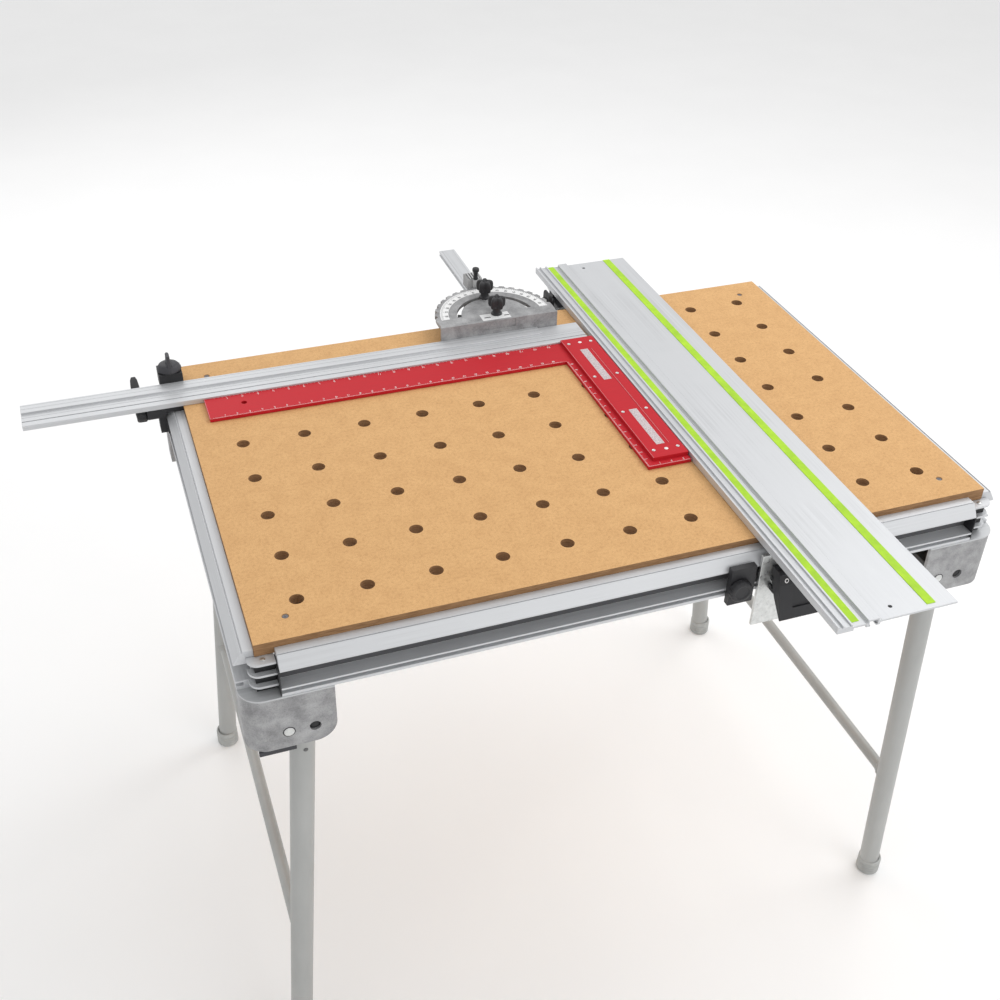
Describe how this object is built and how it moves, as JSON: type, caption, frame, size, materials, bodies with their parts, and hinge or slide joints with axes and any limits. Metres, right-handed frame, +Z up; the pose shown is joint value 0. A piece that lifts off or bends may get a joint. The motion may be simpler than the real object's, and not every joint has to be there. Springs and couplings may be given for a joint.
{
  "type": "folding sawing and clamping table",
  "caption": "Folding saw table: perforated board in an aluminium frame on folding legs, flip-up guide rail, mitre fence with protractor head, loose setting square.",
  "frame": {"origin": "on the floor, midway between the four feet, under the centre dog hole of the board", "axes": "+X to the right along the table's length, +Y to the rear, +Z up"},
  "size_m": [1.3755, 1.173, 0.973],
  "materials": {
    "mdf": "matte pressed fibre board",
    "aluminium_profile": "satin anodised",
    "cast_aluminium": "rough cast",
    "grey_paint": "satin powder coat",
    "grey_plastic": "matte",
    "black_plastic": "fine grain",
    "steel": "zinc plated",
    "green_strip": "matte glide strip",
    "red_anodised": "red anodised",
    "white_scale": "satin white"
  },
  "bodies": {
    "table": {"top_board": "mdf", "board_screws": "steel", "profile_front": "aluminium_profile", "profile_rear": "aluminium_profile", "profile_left": "aluminium_profile", "profile_right": "aluminium_profile", "corner_blocks": "black_plastic", "corner_ribs": "aluminium_profile", "profile_end_caps": "black_plastic", "bracket_front_left": "cast_aluminium", "bracket_front_right": "cast_aluminium", "bracket_rear_left": "cast_aluminium", "bracket_rear_right": "cast_aluminium", "pivot_pins": "steel", "rear_plate": "steel", "rear_clamp_block": "black_plastic", "front_plate": "steel", "front_clamp_block": "black_plastic", "bar_saddle": "black_plastic"},
    "left_legs": {"leg_tube_front_left": "grey_paint", "leg_tube_rear_left": "grey_paint", "leg_heads_left": "cast_aluminium", "foot_caps_left": "grey_plastic", "stretcher_left": "grey_paint"},
    "right_legs": {"leg_tube_front_right": "grey_paint", "leg_tube_rear_right": "grey_paint", "leg_heads_right": "cast_aluminium", "foot_caps_right": "grey_plastic", "stretcher_right": "grey_paint"},
    "knob_front_left": {"leg_knob_front_left": "black_plastic"},
    "knob_front_right": {"leg_knob_front_right": "black_plastic"},
    "knob_rear_left": {"leg_knob_rear_left": "black_plastic"},
    "knob_rear_right": {"leg_knob_rear_right": "black_plastic"},
    "rear_height_carriage": {"rear_carriage": "black_plastic", "rail_hinge_pin": "steel"},
    "front_height_box": {"height_box": "black_plastic", "height_box_screw": "steel"},
    "rail": {"rail_profile": "aluminium_profile", "rail_strips": "green_strip", "rail_hinge_knuckles": "steel"},
    "rear_knob": {"rear_clamp_knob": "black_plastic"},
    "front_knob": {"front_clamp_knob": "black_plastic"},
    "head_carrier": {"head_bar": "aluminium_profile", "head_screws": "steel", "index_guide": "cast_aluminium"},
    "fence": {"fence_profile": "aluminium_profile", "fence_jaw": "black_plastic", "protractor_plate": "cast_aluminium", "protractor_scale": "white_scale"},
    "head_pivot_knob": {"pivot_knob": "black_plastic"},
    "head_slot_knob": {"slot_knob": "black_plastic"},
    "index": {"index_pin": "black_plastic"},
    "bar_knob": {"bar_clamp_knob": "black_plastic"},
    "jaw_knob": {"fence_jaw_knob": "black_plastic"},
    "side_clamp": {"side_jaw": "black_plastic"},
    "side_lever": {"side_jaw_lever": "black_plastic"},
    "setting_square": {"square_blade": "red_anodised", "square_cheek": "red_anodised", "square_pads": "steel", "square_screws": "steel"}
  },
  "joints": [
    {"name": "left_leg_fold", "type": "hinge", "parent": "table", "child": "left_legs", "pos_m": [-0.521, 0, 0.763], "axis": [0, -1, 0], "range_deg": [0, 94.5]},
    {"name": "right_leg_fold", "type": "hinge", "parent": "table", "child": "right_legs", "pos_m": [0.486, 0, 0.763], "axis": [0, 1, 0], "range_deg": [0, 93.7]},
    {"name": "knob_front_left_turn", "type": "hinge", "parent": "table", "child": "knob_front_left", "pos_m": [-0.521, -0.311, 0.763], "axis": [0, 1, 0], "continuous": true},
    {"name": "knob_rear_left_turn", "type": "hinge", "parent": "table", "child": "knob_rear_left", "pos_m": [-0.521, 0.311, 0.763], "axis": [0, 1, 0], "continuous": true},
    {"name": "knob_front_right_turn", "type": "hinge", "parent": "table", "child": "knob_front_right", "pos_m": [0.486, -0.311, 0.763], "axis": [0, 1, 0], "continuous": true},
    {"name": "knob_rear_right_turn", "type": "hinge", "parent": "table", "child": "knob_rear_right", "pos_m": [0.486, 0.311, 0.763], "axis": [0, 1, 0], "continuous": true},
    {"name": "rear_height", "type": "slide", "parent": "table", "child": "rear_height_carriage", "axis": [0, 0, 1], "range_m": [0, 0.075]},
    {"name": "front_height", "type": "slide", "parent": "table", "child": "front_height_box", "axis": [0, 0, 1], "range_m": [0, 0.075]},
    {"name": "rail_flip", "type": "hinge", "parent": "rear_height_carriage", "child": "rail", "pos_m": [0.235, 0.47, 0.89], "axis": [-1, 0, 0], "range_deg": [0, 80]},
    {"name": "rear_knob_turn", "type": "hinge", "parent": "table", "child": "rear_knob", "pos_m": [0.145, 0.405, 0.89], "axis": [0, 0, 1], "continuous": true},
    {"name": "front_knob_turn", "type": "hinge", "parent": "table", "child": "front_knob", "pos_m": [0.1235, -0.405, 0.84675], "axis": [0, 1, 0], "continuous": true},
    {"name": "head_slide", "type": "slide", "parent": "table", "child": "head_carrier", "axis": [0, 1, 0], "range_m": [-0.2, 0.055]},
    {"name": "mitre_swing", "type": "hinge", "parent": "head_carrier", "child": "fence", "pos_m": [0.01, 0.314, 0.933], "axis": [0, 0, 1], "range_deg": [-60, 0]},
    {"name": "pivot_knob_turn", "type": "hinge", "parent": "head_carrier", "child": "head_pivot_knob", "pos_m": [0.01, 0.314, 0.95], "axis": [0, 0, 1], "continuous": true},
    {"name": "slot_knob_turn", "type": "hinge", "parent": "head_carrier", "child": "head_slot_knob", "pos_m": [0.01, 0.379, 0.95], "axis": [0, 0, 1], "continuous": true},
    {"name": "index_pull", "type": "slide", "parent": "head_carrier", "child": "index", "axis": [0, 0, 1], "range_m": [0, 0.008], "stiffness_N_per_m": 400, "springref_m": -0.004},
    {"name": "bar_knob_turn", "type": "hinge", "parent": "table", "child": "bar_knob", "pos_m": [0.01, 0.4045, 0.815], "axis": [0, 0, 1], "continuous": true},
    {"name": "jaw_knob_turn", "type": "hinge", "parent": "fence", "child": "jaw_knob", "pos_m": [-0.56, 0.3095, 0.93], "axis": [0, 0, 1], "continuous": true},
    {"name": "side_jaw_slide", "type": "slide", "parent": "table", "child": "side_clamp", "axis": [0, 1, 0], "range_m": [-0.2, 0.055]},
    {"name": "side_lever_turn", "type": "hinge", "parent": "side_clamp", "child": "side_lever", "pos_m": [-0.615, 0.262, 0.8812], "axis": [1, 0, 0], "range_deg": [-70, 0]},
    {"name": "square_lift", "type": "slide", "parent": "fence", "child": "setting_square", "axis": [0, 0, 1], "range_m": [0, 0.06]}
  ],
  "couplings": [
    {"joint": "front_height", "follows": "rear_height", "ratio": 1},
    {"joint": "side_jaw_slide", "follows": "head_slide", "ratio": 1}
  ]
}
